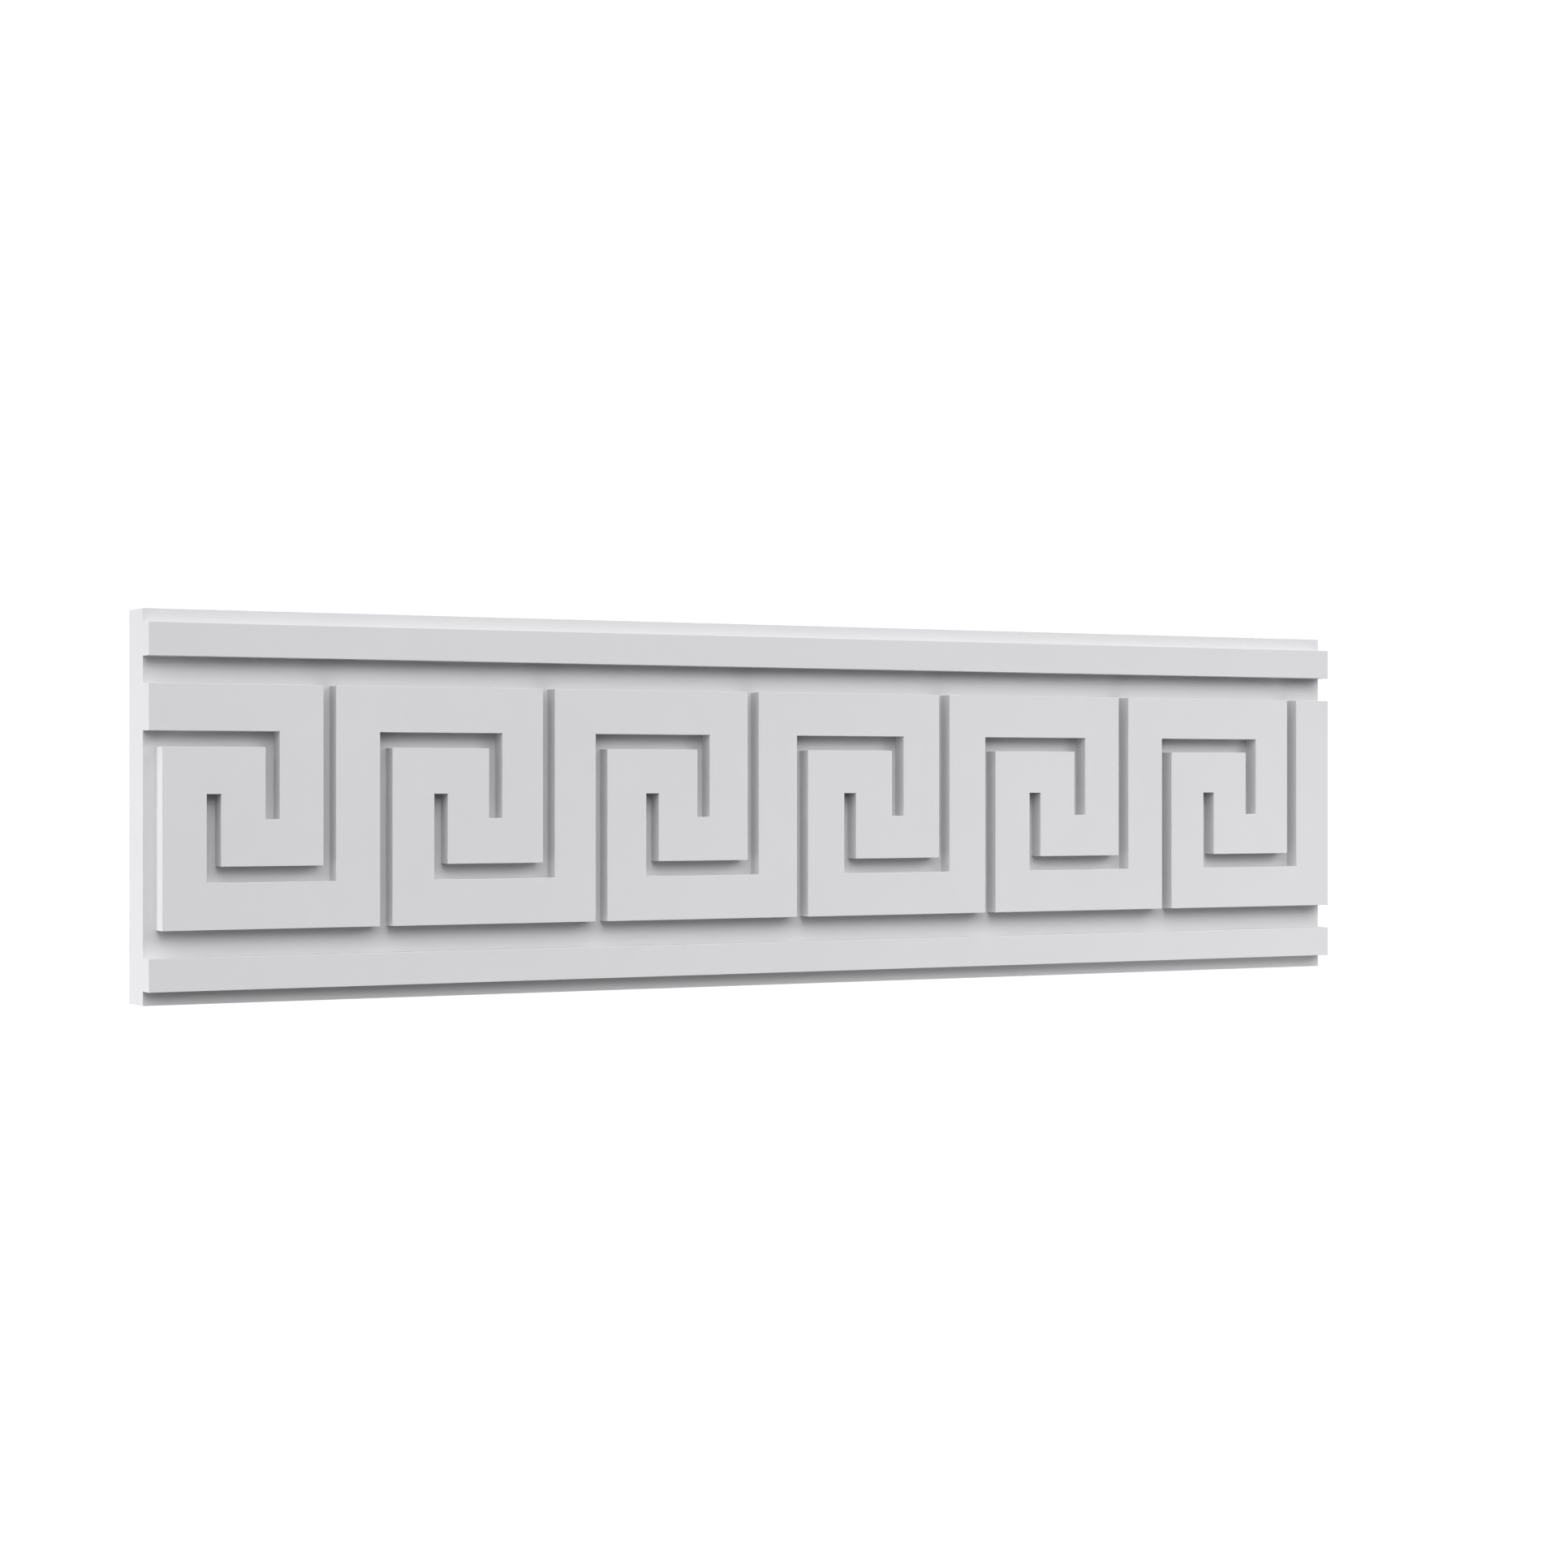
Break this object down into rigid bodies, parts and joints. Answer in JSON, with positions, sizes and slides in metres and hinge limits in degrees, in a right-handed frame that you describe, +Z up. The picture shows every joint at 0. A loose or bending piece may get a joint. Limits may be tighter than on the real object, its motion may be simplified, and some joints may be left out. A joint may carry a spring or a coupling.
{
  "type": "frieze",
  "caption": "Straight wall frieze moulding with a raised Greek key between two plain rails on a flat backing, square-cut ends.",
  "frame": {"origin": "middle of the flat back face, halfway along the length and halfway up the height", "axes": "+X along the length, to the right as a viewer of the front sees it; +Y into the wall behind the back face, so the relief faces -Y; +Z up"},
  "size_m": [1, 0.043, 0.27],
  "materials": {
    "white_plaster": "matte"
  },
  "bodies": {
    "root": {"frieze": "white_plaster"}
  },
  "joints": []
}
